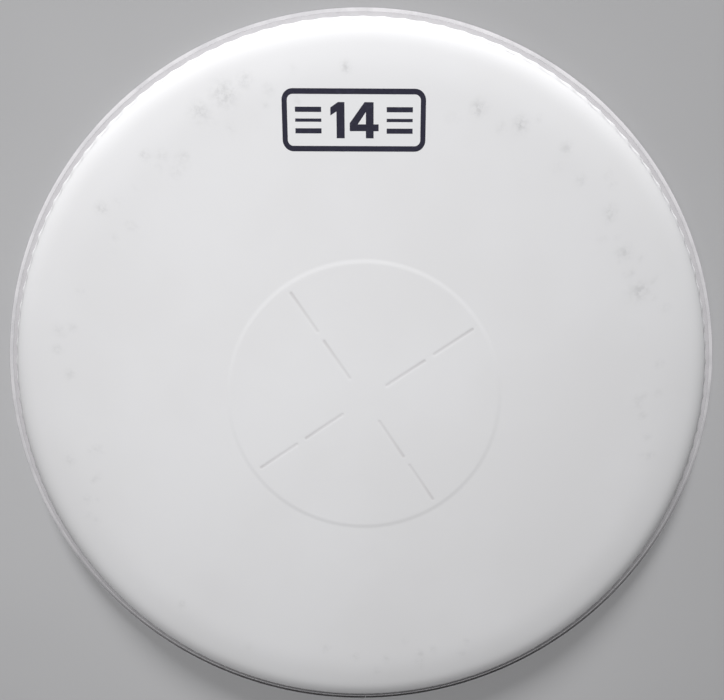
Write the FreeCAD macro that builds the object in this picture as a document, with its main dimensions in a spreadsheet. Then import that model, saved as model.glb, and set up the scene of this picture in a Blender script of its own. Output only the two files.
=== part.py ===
import FreeCAD, Part
import math
import os
import Sketcher

doc = FreeCAD.newDocument("drum_head")

# Driving dimensions: millimetres, and degrees for angles
SIZES = {
    # Flesh hoop, rolled from one strip
    "hoop_diameter": 368.3,
    "hoop_height": 9.5,
    "hoop_width": 5.6,
    "hoop_wall": 1.0,
    "inner_wall_height": 8.9,
    "bend_radius": 1.5,
    "fold_length": 4.0,
    "fold_gap": 0.2,
    "fold_edge_radius": 0.8,
    "wall_edge_radius": 0.3,
    "seam_gap": 0.3,
    # Strip that bridges the seam
    "joiner_length": 40.0,
    "joiner_height": 1.0,
    "joiner_clearance": 0.1,
    # Film: flat face, crown that falls towards the shoulder, collar, flutes and hem
    "face_height": 19.5,
    "film_thickness": 0.254,
    "crown_width": 26.15,
    "crown_angle": 6.0,
    "crown_radius": 170.0,
    "collar_angle": 52.0,
    "shoulder_radius": 10.0,
    "collar_foot_height": 9.0,
    "hem_end_height": 2.6,
    "hem_gap": 0.45,
    "flute_count": 120,
    "flute_depth": 0.35,
    "flute_height": 1.2,
    "flute_rise": 3.0,
    # Resin in the channel
    "resin_level": 8.7,
    # Coating
    "coat_thickness": 0.1,
    "coat_ramp": 0.6,
    # Dot and its bond
    "dot_diameter": 137.2,
    "dot_thickness": 0.127,
    "bond_thickness": 0.05,
    "slot_start": 12.9,
    "slot_length": 23.8,
    "slot_spacing": 28.3,
    "slot_width": 1.4,
    "spoke_count": 4,
    "spoke_angle": 33.7,
}

# Radii and heights worked out from the driving dimensions
PLACES = {
    "rim_radius": "sizes.hoop_diameter / 2",
    "bore_radius": "rim_radius - sizes.hoop_width",
    "channel_inner_radius": "bore_radius + sizes.hoop_wall",
    "channel_outer_radius": "rim_radius - sizes.hoop_wall",
    "channel_radius": "(channel_inner_radius + channel_outer_radius) / 2",
    "fold_radius": "channel_outer_radius - sizes.fold_gap",
    "mouth_radius": "fold_radius - sizes.hoop_wall",
    "fold_top_height": "sizes.hoop_height - sizes.hoop_wall",
    "fold_end_height": "sizes.hoop_height - sizes.fold_length",
    "seam_angle": "sizes.seam_gap / rim_radius * 180 / pi",
    "joiner_angle": "sizes.joiner_length / channel_radius * 180 / pi",
    "joiner_inner_radius": "channel_inner_radius + sizes.joiner_clearance",
    "joiner_outer_radius": "channel_outer_radius - sizes.joiner_clearance",
    "joiner_top_height": "sizes.hoop_wall + sizes.joiner_height",
    "hem_inner_radius": "channel_inner_radius + sizes.hem_gap",
    "hem_outer_radius": "hem_inner_radius + sizes.film_thickness",
    "film_across": "sizes.film_thickness / sin(sizes.collar_angle)",
    "film_down": "sizes.film_thickness / cos(sizes.crown_angle)",
    "coat_across": "sizes.coat_thickness / sin(sizes.collar_angle)",
    "coat_up": "sizes.coat_thickness / cos(sizes.crown_angle)",
    "foot_coat_radius": "hem_outer_radius + sizes.coat_thickness",
    "flute_mid_height": "sizes.collar_foot_height + sizes.flute_height",
    "flute_mid_radius": "hem_outer_radius - sizes.flute_height / tan(sizes.collar_angle)",
    "flute_mid_inner_radius": "flute_mid_radius - film_across",
    "flute_mid_coat_radius": "flute_mid_radius + coat_across",
    "flute_top_height": "flute_mid_height + sizes.flute_rise",
    "flute_top_radius": "flute_mid_radius - sizes.flute_rise / tan(sizes.collar_angle)",
    "flute_top_inner_radius": "flute_top_radius - film_across",
    "flute_top_coat_radius": "flute_top_radius + coat_across",
    "crown_place": "rim_radius - sizes.crown_width",
    "crown_inner_place": "crown_place - sizes.film_thickness * tan(sizes.crown_angle / 2)",
    "crown_coat_place": "crown_place + sizes.coat_thickness * tan(sizes.crown_angle / 2)",
    "collar_slope": "tan(sizes.collar_angle)",
    "crown_slope": "tan(sizes.crown_angle)",
    "slope_change": "collar_slope - crown_slope",
    "collar_reach": "sizes.collar_foot_height + hem_outer_radius * collar_slope",
    "crown_reach": "sizes.face_height + crown_place * crown_slope",
    "collar_radius": "(collar_reach - crown_reach) / slope_change",
    "collar_height": "crown_reach - collar_radius * crown_slope",
    "collar_inner_radius": "collar_radius + (film_down - film_across * collar_slope) / slope_change",
    "collar_inner_height": "crown_reach - film_down - collar_inner_radius * crown_slope",
    "collar_coat_radius": "collar_radius - (coat_up - coat_across * collar_slope) / slope_change",
    "collar_coat_height": "crown_reach + coat_up - collar_coat_radius * crown_slope",
    "under_face_height": "sizes.face_height - sizes.film_thickness",
    "coat_height": "sizes.face_height + sizes.coat_thickness",
    "dot_base_height": "sizes.face_height + sizes.bond_thickness",
    "dot_step": "sizes.bond_thickness + sizes.dot_thickness",
    "dot_coat_height": "coat_height + dot_step",
    "dot_radius": "sizes.dot_diameter / 2",
    "dot_ramp_radius": "dot_radius + sizes.coat_ramp",
    "slot_coat_width": "sizes.slot_width - 2 * sizes.coat_thickness",
    "slot_coat_start": "sizes.slot_start + sizes.coat_thickness",
    "slot_coat_length": "sizes.slot_length - 2 * sizes.coat_thickness",
}

sheet = doc.addObject("Spreadsheet::Sheet", "sizes")
for row, (alias, value) in enumerate(SIZES.items(), start=1):
    sheet.set(f"A{row}", alias)
    sheet.set(f"B{row}", str(value))
    sheet.setAlias(f"B{row}", alias)
doc.recompute()

places = doc.addObject("App::VarSet", "places")
for name, formula in PLACES.items():
    places.addProperty("App::PropertyFloat", name, "places")
    places.setExpression(name, formula)
doc.recompute()

FULL_TURN = 360
TOLERANCE = 1e-4
# Where a sketch's points lie before their constraints move them
ROUGH_PLACE = 2
# Length of a cut through a patch, in thicknesses, half of it to each side
THROUGH_CUT = 4


def origin_plane(body, role):
    """The body's own origin plane with the given role."""
    return next(feature for feature in body.Origin.OriginFeatures if feature.Role == role)


def new_sketch(body, role, name):
    """An empty sketch on one of the body's origin planes."""
    sketch = body.newObject("Sketcher::SketchObject", name)
    sketch.AttachmentSupport = [(origin_plane(body, role), "")]
    sketch.MapMode = "FlatFace"
    return sketch


def hold(sketch, kind, edge, point, expression):
    """Keep a point at a distance from the sketch's origin that follows an expression."""
    now = sketch.getPoint(edge, point)
    distance = now.x if kind == "DistanceX" else now.y
    index = sketch.addConstraint(Sketcher.Constraint(kind, -1, 1, edge, point, distance))
    sketch.setExpression(f"Constraints[{index}]", expression)


def section(body, name, corners):
    """A closed section of straight edges in the YZ plane: each corner is a radius and a height."""
    sketch = new_sketch(body, "YZ_Plane", name)
    count = len(corners)
    rough = [FreeCAD.Vector(ROUGH_PLACE + math.cos(turn), ROUGH_PLACE + math.sin(turn), 0)
             for turn in (2 * math.pi * index / count for index in range(count))]
    for index in range(count):
        sketch.addGeometry(Part.LineSegment(rough[index], rough[(index + 1) % count]))
    for index in range(count):
        sketch.addConstraint(Sketcher.Constraint("Coincident", index, 2, (index + 1) % count, 1))
    for index, (radius, height) in enumerate(corners):
        if radius == "axis":
            sketch.addConstraint(Sketcher.Constraint("PointOnObject", index, 1, -2))
        else:
            hold(sketch, "DistanceX", index, 1, radius)
        if height == "base":
            sketch.addConstraint(Sketcher.Constraint("PointOnObject", index, 1, -1))
        else:
            hold(sketch, "DistanceY", index, 1, height)
    return sketch


def revolve(body, sketch, angle):
    """Turn a section about the vertical axis, to both sides of its plane alike."""
    turn = body.newObject("PartDesign::Revolution", "Revolution")
    turn.Profile = sketch
    turn.ReferenceAxis = (sketch, ["V_Axis"])
    turn.Midplane = True
    turn.setExpression("Angle", angle)
    doc.recompute()


def round_rings(body, name, rings, radius):
    """Round the ring edges at the given radii and heights."""
    edges = []
    for index, edge in enumerate(body.Tip.Shape.Edges, start=1):
        curve = edge.Curve
        if not isinstance(curve, Part.Circle):
            continue
        for ring_radius, ring_height in rings:
            same_radius = abs(curve.Radius - ring_radius) < TOLERANCE
            same_height = abs(curve.Center.z - ring_height) < TOLERANCE
            if same_radius and same_height:
                edges.append(f"Edge{index}")
    fillet = body.newObject("PartDesign::Fillet", name)
    fillet.Base = (fillet.BaseFeature, edges)
    fillet.setExpression("Radius", radius)
    doc.recompute()


def slot_sketch(body, start, length, width):
    """Two round-ended slots in line along X, a spacing apart."""
    sketch = new_sketch(body, "XY_Plane", "SlotSketch")
    half_turn = math.pi
    upward = FreeCAD.Vector(0, 0, 1)
    for order in range(2):
        shift = f"{order} * sizes.slot_spacing + {start}"
        radius = SIZES["slot_width"] / 2
        first_x = SIZES["slot_start"] + order * SIZES["slot_spacing"] + radius
        last_x = first_x + SIZES["slot_length"] - 2 * radius
        first = FreeCAD.Vector(first_x, 0, 0)
        last = FreeCAD.Vector(last_x, 0, 0)
        side = FreeCAD.Vector(0, radius, 0)
        first_arc = sketch.addGeometry(Part.ArcOfCircle(
            Part.Circle(first, upward, radius), half_turn / 2, 3 * half_turn / 2))
        lower = sketch.addGeometry(Part.LineSegment(first - side, last - side))
        last_arc = sketch.addGeometry(Part.ArcOfCircle(
            Part.Circle(last, upward, radius), -half_turn / 2, half_turn / 2))
        upper = sketch.addGeometry(Part.LineSegment(last + side, first + side))
        sketch.addConstraint([
            Sketcher.Constraint("Tangent", first_arc, 2, lower, 1),
            Sketcher.Constraint("Tangent", lower, 2, last_arc, 1),
            Sketcher.Constraint("Tangent", last_arc, 2, upper, 1),
            Sketcher.Constraint("Tangent", upper, 2, first_arc, 1),
            Sketcher.Constraint("PointOnObject", first_arc, 3, -1),
            Sketcher.Constraint("PointOnObject", last_arc, 3, -1),
            Sketcher.Constraint("Equal", first_arc, last_arc),
        ])
        round_end = sketch.addConstraint(Sketcher.Constraint("Radius", first_arc, radius))
        sketch.setExpression(f"Constraints[{round_end}]", f"{width} / 2")
        hold(sketch, "DistanceX", first_arc, 3, f"{shift} + {width} / 2")
        hold(sketch, "DistanceX", last_arc, 3, f"{shift} + {length} - {width} / 2")
    return sketch


def cut_slots(body, sketch, depth):
    """Cut the two slots of one spoke and repeat them round the middle."""
    before = body.Tip.Shape.Volume
    pocket = body.newObject("PartDesign::Pocket", "Slots")
    pocket.Profile = sketch
    pocket.SideType = "Symmetric"
    pocket.setExpression("Length", depth)
    doc.recompute()
    if pocket.Shape.Volume >= before:
        raise RuntimeError(f"{body.Label}: the slots cut nothing")
    spokes = body.newObject("PartDesign::PolarPattern", "Spokes")
    spokes.Originals = [pocket]
    spokes.Axis = (sketch, ["N_Axis"])
    spokes.Angle = FULL_TURN
    body.Tip = spokes
    spokes.setExpression("Occurrences", "sizes.spoke_count")
    doc.recompute()


def patch(label, thickness, height):
    """A round patch with slots, turned to the spokes' angle and set at a height."""
    body = doc.addObject("PartDesign::Body", label)
    outline = new_sketch(body, "XY_Plane", "OutlineSketch")
    outline.addGeometry(Part.Circle(FreeCAD.Vector(), FreeCAD.Vector(0, 0, 1), SIZES["dot_diameter"] / 2))
    outline.addConstraint(Sketcher.Constraint("Coincident", 0, 3, -1, 1))
    across = outline.addConstraint(Sketcher.Constraint("Diameter", 0, SIZES["dot_diameter"]))
    outline.setExpression(f"Constraints[{across}]", "sizes.dot_diameter")
    pad = body.newObject("PartDesign::Pad", "Pad")
    pad.Profile = outline
    pad.setExpression("Length", thickness)
    doc.recompute()
    slots = slot_sketch(body, "sizes.slot_start", "sizes.slot_length", "sizes.slot_width")
    cut_slots(body, slots, f"{THROUGH_CUT} * {thickness}")
    body.setExpression("Placement.Rotation.Angle", "sizes.spoke_angle")
    body.setExpression("Placement.Base.z", height)
    return body


def plain_ring(name, radius, height):
    """A circle round the vertical axis."""
    ring = doc.addObject("Part::Circle", name)
    ring.setExpression("Radius", radius)
    ring.setExpression("Placement.Base.z", height)
    return ring


def flute_ring(name, radius, height):
    """A closed ring that waves out and in by the flutes' depth, once for each flute."""
    points = []
    count = 2 * int(sheet.flute_count)
    for index in range(count):
        angle = 2 * math.pi * index / count
        reach = radius + sheet.flute_depth if index % 2 == 0 else radius - sheet.flute_depth
        points.append(FreeCAD.Vector(reach * math.cos(angle), reach * math.sin(angle), height))
    curve = Part.BSplineCurve()
    curve.interpolate(Points=points, PeriodicFlag=True)
    ring = doc.addObject("Part::Feature", name)
    ring.Shape = Part.Wire([curve.toShape()])
    return ring


def fluted_solid(name, rings):
    """A solid with straight sides from ring to ring."""
    loft = doc.addObject("Part::Loft", name)
    loft.Sections = rings
    loft.Ruled = True
    loft.Solid = True
    return loft


def cut(label, base, tool):
    """One solid less another."""
    difference = doc.addObject("Part::Cut", label)
    difference.Base = base
    difference.Tool = tool
    return difference


def fuse(label, shapes):
    """Several solids as one."""
    union = doc.addObject("Part::MultiFuse", label)
    union.Shapes = shapes
    return union


# Flesh hoop: a rolled channel whose outer wall is folded back on itself
flesh_hoop = doc.addObject("PartDesign::Body", "flesh_hoop")
hoop_section = section(flesh_hoop, "HoopSection", [
    ("places.bore_radius", "base"),
    ("places.rim_radius", "base"),
    ("places.rim_radius", "sizes.hoop_height"),
    ("places.mouth_radius", "sizes.hoop_height"),
    ("places.mouth_radius", "places.fold_end_height"),
    ("places.fold_radius", "places.fold_end_height"),
    ("places.fold_radius", "places.fold_top_height"),
    ("places.channel_outer_radius", "places.fold_top_height"),
    ("places.channel_outer_radius", "sizes.hoop_wall"),
    ("places.channel_inner_radius", "sizes.hoop_wall"),
    ("places.channel_inner_radius", "sizes.inner_wall_height"),
    ("places.bore_radius", "sizes.inner_wall_height"),
])
revolve(flesh_hoop, hoop_section, f"{FULL_TURN} - places.seam_angle")
round_rings(flesh_hoop, "OuterBends", [
    (places.bore_radius, 0),
    (places.rim_radius, 0),
], "sizes.bend_radius")
round_rings(flesh_hoop, "InnerBends", [
    (places.channel_inner_radius, sheet.hoop_wall),
    (places.channel_outer_radius, sheet.hoop_wall),
], "sizes.bend_radius - sizes.hoop_wall")
round_rings(flesh_hoop, "FoldEdges", [
    (places.rim_radius, sheet.hoop_height),
    (places.mouth_radius, sheet.hoop_height),
], "sizes.fold_edge_radius")
round_rings(flesh_hoop, "WallEdges", [
    (places.bore_radius, sheet.inner_wall_height),
    (places.channel_inner_radius, sheet.inner_wall_height),
], "sizes.wall_edge_radius")

# Joiner: a strip in the bottom of the channel, across the seam
hoop_joiner = doc.addObject("PartDesign::Body", "hoop_joiner")
joiner_section = section(hoop_joiner, "JoinerSection", [
    ("places.joiner_inner_radius", "sizes.hoop_wall"),
    ("places.joiner_outer_radius", "sizes.hoop_wall"),
    ("places.joiner_outer_radius", "places.joiner_top_height"),
    ("places.joiner_inner_radius", "places.joiner_top_height"),
])
revolve(hoop_joiner, joiner_section, "places.joiner_angle")
round_rings(hoop_joiner, "LowerEdges", [
    (places.joiner_inner_radius, sheet.hoop_wall),
    (places.joiner_outer_radius, sheet.hoop_wall),
], "sizes.bend_radius - sizes.hoop_wall")
hoop_joiner.Placement = FreeCAD.Placement(
    FreeCAD.Vector(), FreeCAD.Rotation(FreeCAD.Vector(0, 0, 1), FULL_TURN / 2))

# Film: face, crown and collar, then the crimped flutes and the hem below them
film_sheet = doc.addObject("PartDesign::Body", "film_sheet")
film_section = section(film_sheet, "FilmSection", [
    ("axis", "places.under_face_height"),
    ("places.crown_inner_place", "places.under_face_height"),
    ("places.collar_inner_radius", "places.collar_inner_height"),
    ("places.flute_top_inner_radius", "places.flute_top_height"),
    ("places.flute_top_radius", "places.flute_top_height"),
    ("places.collar_radius", "places.collar_height"),
    ("places.crown_place", "sizes.face_height"),
    ("axis", "sizes.face_height"),
])
revolve(film_sheet, film_section, f"{FULL_TURN}")
round_rings(film_sheet, "UpperShoulder", [
    (places.collar_radius, places.collar_height),
], "sizes.shoulder_radius")
round_rings(film_sheet, "LowerShoulder", [
    (places.collar_inner_radius, places.collar_inner_height),
], "sizes.shoulder_radius - sizes.film_thickness")
round_rings(film_sheet, "UpperCrown", [
    (places.crown_place, sheet.face_height),
], "sizes.crown_radius")
round_rings(film_sheet, "LowerCrown", [
    (places.crown_inner_place, places.under_face_height),
], "sizes.crown_radius - sizes.film_thickness")

film_hem = doc.addObject("PartDesign::Body", "film_hem")
hem_section = section(film_hem, "HemSection", [
    ("places.hem_inner_radius", "sizes.hem_end_height"),
    ("places.hem_outer_radius", "sizes.hem_end_height"),
    ("places.hem_outer_radius", "sizes.collar_foot_height"),
    ("places.hem_inner_radius", "sizes.collar_foot_height"),
])
revolve(film_hem, hem_section, f"{FULL_TURN}")

outer_rings = [
    plain_ring("OuterTop", "places.flute_top_radius", "places.flute_top_height"),
    flute_ring("OuterFlutes", places.flute_mid_radius, places.flute_mid_height),
    plain_ring("OuterFoot", "places.hem_outer_radius", "sizes.collar_foot_height"),
]
inner_rings = [
    plain_ring("InnerTop", "places.flute_top_inner_radius", "places.flute_top_height"),
    flute_ring("InnerFlutes", places.flute_mid_inner_radius, places.flute_mid_height),
    plain_ring("InnerFoot", "places.hem_inner_radius", "sizes.collar_foot_height"),
]
flutes_outside = fluted_solid("FlutesOutside", outer_rings)
flutes_inside = fluted_solid("FlutesInside", inner_rings)
film_flutes = cut("FilmFlutes", flutes_outside, flutes_inside)
film_ply = fuse("film_ply", [film_sheet, film_flutes, film_hem])

# Dot and the bond that holds it to the film
dot_adhesive = patch("dot_adhesive", "sizes.bond_thickness", "sizes.face_height")
centre_dot = patch("centre_dot", "sizes.dot_thickness", "places.dot_base_height")

# Coating: over the film, up onto the dot, down into the slots and over the flutes
coat_sheet = doc.addObject("PartDesign::Body", "coat_sheet")
coat_section = section(coat_sheet, "CoatSection", [
    ("axis", "sizes.face_height"),
    ("places.crown_place", "sizes.face_height"),
    ("places.collar_radius", "places.collar_height"),
    ("places.flute_top_radius", "places.flute_top_height"),
    ("places.flute_top_coat_radius", "places.flute_top_height"),
    ("places.collar_coat_radius", "places.collar_coat_height"),
    ("places.crown_coat_place", "places.coat_height"),
    ("places.dot_ramp_radius", "places.coat_height"),
    ("places.dot_radius", "places.dot_coat_height"),
    ("axis", "places.dot_coat_height"),
])
revolve(coat_sheet, coat_section, f"{FULL_TURN}")
round_rings(coat_sheet, "LowerShoulder", [
    (places.collar_radius, places.collar_height),
], "sizes.shoulder_radius")
round_rings(coat_sheet, "UpperShoulder", [
    (places.collar_coat_radius, places.collar_coat_height),
], "sizes.shoulder_radius + sizes.coat_thickness")
round_rings(coat_sheet, "LowerCrown", [
    (places.crown_place, sheet.face_height),
], "sizes.crown_radius")
round_rings(coat_sheet, "UpperCrown", [
    (places.crown_coat_place, places.coat_height),
], "sizes.crown_radius + sizes.coat_thickness")
coat_slots = slot_sketch(coat_sheet, "places.slot_coat_start", "places.slot_coat_length",
                         "places.slot_coat_width")
coat_slots.setExpression("AttachmentOffset.Base.z", "places.dot_coat_height")
coat_slots.setExpression("AttachmentOffset.Rotation.Angle", "sizes.spoke_angle")
cut_slots(coat_sheet, coat_slots, "2 * places.dot_step")

patch_stack = fuse("PatchStack", [dot_adhesive, centre_dot])
coat_face = cut("CoatFace", coat_sheet, patch_stack)
coat_rings = [
    plain_ring("CoatTop", "places.flute_top_coat_radius", "places.flute_top_height"),
    flute_ring("CoatFlutes", places.flute_mid_coat_radius, places.flute_mid_height),
    plain_ring("CoatFoot", "places.foot_coat_radius", "sizes.collar_foot_height"),
]
coat_outside = fluted_solid("CoatOutside", coat_rings)
coat_skirt = cut("CoatSkirt", coat_outside, flutes_outside)
top_coating = fuse("top_coating", [coat_face, coat_skirt])

# Resin: fills the channel round the hem and the joiner
resin_fill = doc.addObject("PartDesign::Body", "resin_fill")
resin_section = section(resin_fill, "ResinSection", [
    ("places.channel_inner_radius", "sizes.hoop_wall"),
    ("places.channel_outer_radius", "sizes.hoop_wall"),
    ("places.channel_outer_radius", "places.fold_end_height"),
    ("places.mouth_radius", "places.fold_end_height"),
    ("places.mouth_radius", "sizes.resin_level"),
    ("places.channel_inner_radius", "sizes.resin_level"),
])
revolve(resin_fill, resin_section, f"{FULL_TURN}")
round_rings(resin_fill, "LowerEdges", [
    (places.channel_inner_radius, sheet.hoop_wall),
    (places.channel_outer_radius, sheet.hoop_wall),
], "sizes.bend_radius - sizes.hoop_wall")
resin_over_joiner = cut("ResinOverJoiner", resin_fill, hoop_joiner)
hoop_resin = cut("hoop_resin", resin_over_joiner, film_ply)

doc.recompute()

for item in doc.Objects:
    if "Invalid" in item.State or "Error" in item.State:
        raise RuntimeError(f"{item.Label}: {item.State}")

os.makedirs("parts", exist_ok=True)
for node in (flesh_hoop, hoop_joiner, hoop_resin, film_ply, dot_adhesive, centre_dot, top_coating):
    if node.Shape.isNull() or not node.Shape.isValid():
        raise RuntimeError(f"{node.Label}: shape is null or not valid")
    node.Shape.exportStep(f"parts/{node.Label}.step")
    print(node.Label, len(node.Shape.Solids), round(node.Shape.Volume), len(node.Shape.Faces))
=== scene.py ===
import math
import random

import bmesh
import bpy
from mathutils import Euler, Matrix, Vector
from mathutils.geometry import delaunay_2d_cdt, interpolate_bezier


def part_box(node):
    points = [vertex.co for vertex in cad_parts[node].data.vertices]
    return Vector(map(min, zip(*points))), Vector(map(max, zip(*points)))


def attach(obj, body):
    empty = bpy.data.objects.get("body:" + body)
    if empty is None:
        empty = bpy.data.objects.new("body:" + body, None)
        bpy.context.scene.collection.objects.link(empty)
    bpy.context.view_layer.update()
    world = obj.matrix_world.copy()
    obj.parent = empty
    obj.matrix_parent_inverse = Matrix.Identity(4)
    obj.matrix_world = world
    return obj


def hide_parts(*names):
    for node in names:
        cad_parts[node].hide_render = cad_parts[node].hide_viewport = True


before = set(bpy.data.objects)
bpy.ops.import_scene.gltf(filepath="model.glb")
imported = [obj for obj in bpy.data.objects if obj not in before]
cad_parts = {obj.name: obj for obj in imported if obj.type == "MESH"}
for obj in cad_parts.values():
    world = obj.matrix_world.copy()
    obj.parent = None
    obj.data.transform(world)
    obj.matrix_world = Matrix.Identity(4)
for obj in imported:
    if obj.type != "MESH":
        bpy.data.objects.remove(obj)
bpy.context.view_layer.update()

# The drum head lies face up, in metres, with its hoop on the floor and the image's upward way along +Y
MM = 0.001


def reach(node):
    """A round node's largest distance from the vertical axis."""
    low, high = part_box(node)
    return max(high.x, high.y, -low.x, -low.y)


def floor_of(node):
    """Height of a node's underside."""
    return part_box(node)[0].z


def top_of(node):
    """Height of a node's upper side."""
    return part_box(node)[1].z


# Hoop: a strip rolled into a channel, its outer wall folded back inside
RIM_RADIUS = reach("flesh_hoop")
HOOP_HEIGHT = top_of("flesh_hoop")
HOOP_WIDTH = 5.6 * MM
HOOP_WALL = 1.0 * MM
INNER_WALL_HEIGHT = 8.9 * MM
FOLD_LENGTH = 4.0 * MM
FOLD_GAP = 0.2 * MM
FOLD_EDGE_ROUNDING = 0.8 * MM
BEND_ROUNDING = 1.5 * MM
CHANNEL_ROUNDING = BEND_ROUNDING - HOOP_WALL
STRIP_EDGE_ROUNDING = 0.3 * MM
LIP_EDGE_ROUNDING = 0.06 * MM
SEAM_GAP = 0.3 * MM
BORE_RADIUS = RIM_RADIUS - HOOP_WIDTH
CHANNEL_INNER_RADIUS = BORE_RADIUS + HOOP_WALL
CHANNEL_OUTER_RADIUS = RIM_RADIUS - HOOP_WALL
FOLD_RADIUS = CHANNEL_OUTER_RADIUS - FOLD_GAP
MOUTH_RADIUS = FOLD_RADIUS - HOOP_WALL
FOLD_TOP = HOOP_HEIGHT - HOOP_WALL
FOLD_END = HOOP_HEIGHT - FOLD_LENGTH

# Film: flat face, gently falling crown, shoulder, collar, crimped flutes and hem
FACE_HEIGHT = top_of("film_ply")
HEM_END = floor_of("film_ply")
HEM_RADIUS = reach("film_ply")
FILM_THICKNESS = 0.254 * MM
HEM_INNER_RADIUS = HEM_RADIUS - FILM_THICKNESS
FLAT_RADIUS = 145 * MM
CROWN_FALL = math.radians(6)
CROWN_END_RADIUS = 167 * MM
SHOULDER_START_RADIUS = 163.5 * MM
SHOULDER_END_RADIUS = 177.2 * MM
COLLAR_ANGLE = math.radians(52)
COLLAR_FOOT = 9.0 * MM
FLUTE_COUNT = 120
FLUTE_DEPTH = 0.55 * MM
FLUTE_FOOT = 8.8 * MM
FLUTE_CREST = COLLAR_FOOT + 1.7 * MM
FLUTE_TOP = COLLAR_FOOT + 4.6 * MM
FLUTE_ROWS = 5

# Coating, and the dot and slots that it covers
COAT_THICKNESS = 0.1 * MM
COAT_HEIGHT = FACE_HEIGHT + COAT_THICKNESS
DOT_RADIUS = reach("centre_dot")
DOT_STEP = top_of("centre_dot") - FACE_HEIGHT
DOT_RAMP = 2.8 * MM
DOT_RAMP_INNER_SHARE = 0.45
SPOKE_COUNT = 4
SPOKE_ANGLE = math.radians(33.7)
SLOT_START = 12.9 * MM
SLOT_LENGTH = 23.8 * MM
SLOT_SPACING = 28.3 * MM
SLOT_WIDTH = 1.4 * MM
SLOT_FLOOR_REACH = 0.2 * MM
SLOT_WALL_REACH = 1.2 * MM
SLOT_DEPTH_SHARE = 0.48
SLOTS_PER_SPOKE = 2
# Painted shade in the slots: its share at their inner ends, rising to full at their outer ends
SLOT_SHADE_INNER_SHARE = 0.45

# Resin: its level in the channel, how far it creeps up the walls and how far it tucks in under the collar
RESIN_LEVEL = 9.42 * MM
RESIN_INNER_LEVEL = 8.7 * MM
RESIN_CREEP = 0.03 * MM
RESIN_CREEP_WIDTH = RESIN_CREEP / 3
RESIN_TUCK = 0.55 * MM

# Mesh steps round the turned pieces and across the face
ARC_STEPS = 5
SHOULDER_STEPS = 9
FLUTE_SEGMENTS = 8 * FLUTE_COUNT
PLAIN_SEGMENTS = 480
FACE_STEP = 3.4 * MM
DOT_EDGE_ROWS = 8
DOT_MARGIN_ROWS = 2
DOT_EDGE_STEP = FACE_STEP / 3
DOT_EDGE_CLEARANCE = DOT_RAMP + FACE_STEP / 4
SLOT_STEP = 1.0 * MM
SLOT_WALL_ROWS = 4
SLOT_GUARD_REACH = 1.5 * SLOT_WALL_REACH
SLOT_CLEARANCE = SLOT_GUARD_REACH + FACE_STEP / 3
# Rings at the edge of the face: face steps in from the edge, and flute segments to each of their points
FACE_EDGE_RINGS = ((1.5, 4), (0.5, 2), (0, 1))
MERGE_DISTANCE = 0.001 * MM
WELD_DISTANCE = 10 * MERGE_DISTANCE
SLIVER_LENGTH = MERGE_DISTANCE / 10
SHARP_ANGLE = math.radians(50)

# Printed mark: the head's size in inches, in a plain frame
MARK_PLACE = Vector((-4.5 * MM, 132 * MM))
MARK_WIDTH = 66 * MM
MARK_HEIGHT = 27 * MM
MARK_CORNER = 5 * MM
MARK_LINE = 2.4 * MM
MARK_RULE_LENGTH = 12 * MM
MARK_RULE_WIDTHS = (2.2 * MM, 1.4 * MM, 2.2 * MM)
MARK_RULE_STEP = 4.6 * MM
MARK_RULE_PLACE = 21 * MM
INK_THICKNESS = 0.02 * MM
# Length of the Bezier handles that draw a quarter circle, in radii
QUARTER_PULL_SHARE = 4 / 3 * math.tan(math.pi / 8)
# Digits one and four: corners in shares of their height, and how far each stands from the middle
DIGIT_HEIGHT = 15.5 * MM
ONE_SHARES = ((0.22, 0), (0.22, 1), (0.03, 1), (-0.2, 0.85), (-0.2, 0.63), (-0.02, 0.74), (-0.02, 0))
FOUR_SHARES = ((0.48, 0), (0.71, 0), (0.71, 0.2), (0.86, 0.2), (0.86, 0.39), (0.71, 0.39), (0.71, 1),
               (0.44, 1), (0, 0.42), (0, 0.2), (0.48, 0.2))
FOUR_HOLE_SHARES = ((0.48, 0.39), (0.48, 0.73), (0.24, 0.39))
ONE_PLACE_SHARE = -0.5
FOUR_PLACE_SHARE = -0.13

# Camera, as found from the rim and the dot: place in rim radii above the hoop's top, turn in degrees
CAMERA_PLACE_SHARES = (0.0020, 0.3152, 1.3685)
CAMERA_TURN = (-10.08, -0.79, 0)
FOCAL_PIXELS = 490
IMAGE_WIDTH = 724
IMAGE_HEIGHT = 700
OPTICAL_CENTRE_PIXELS = (371.9, 370.9)
SENSOR_MM = 36
CLIP_START_SHARE = 0.01


# Node helpers for geometry and shader trees

def feed(tree, socket, value):
    """Link a socket to another, or set its value."""
    if isinstance(value, bpy.types.NodeSocket):
        tree.links.new(value, socket)
    else:
        socket.default_value = value


def calc(tree, operation, *values):
    """A math node's result."""
    node = tree.nodes.new("ShaderNodeMath")
    node.operation = operation
    for socket, value in zip(node.inputs, values):
        feed(tree, socket, value)
    return node.outputs["Value"]


def ramp(tree, value, start, end, low=0.0, high=1.0):
    """A value carried smoothly from low to high as it goes from start to end."""
    node = tree.nodes.new("ShaderNodeMapRange")
    node.interpolation_type = "SMOOTHSTEP"
    for name, setting in (("Value", value), ("From Min", start), ("From Max", end),
                          ("To Min", low), ("To Max", high)):
        feed(tree, node.inputs[name], setting)
    return node.outputs["Result"]


def combine(tree, x, y, z):
    """Three numbers as one vector."""
    node = tree.nodes.new("ShaderNodeCombineXYZ")
    for socket, value in zip(node.inputs, (x, y, z)):
        feed(tree, socket, value)
    return node.outputs["Vector"]


def separate(tree, vector):
    """A vector's three numbers."""
    node = tree.nodes.new("ShaderNodeSeparateXYZ")
    tree.links.new(vector, node.inputs["Vector"])
    return node.outputs


# Sections: points in the plane of radius and height

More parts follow.
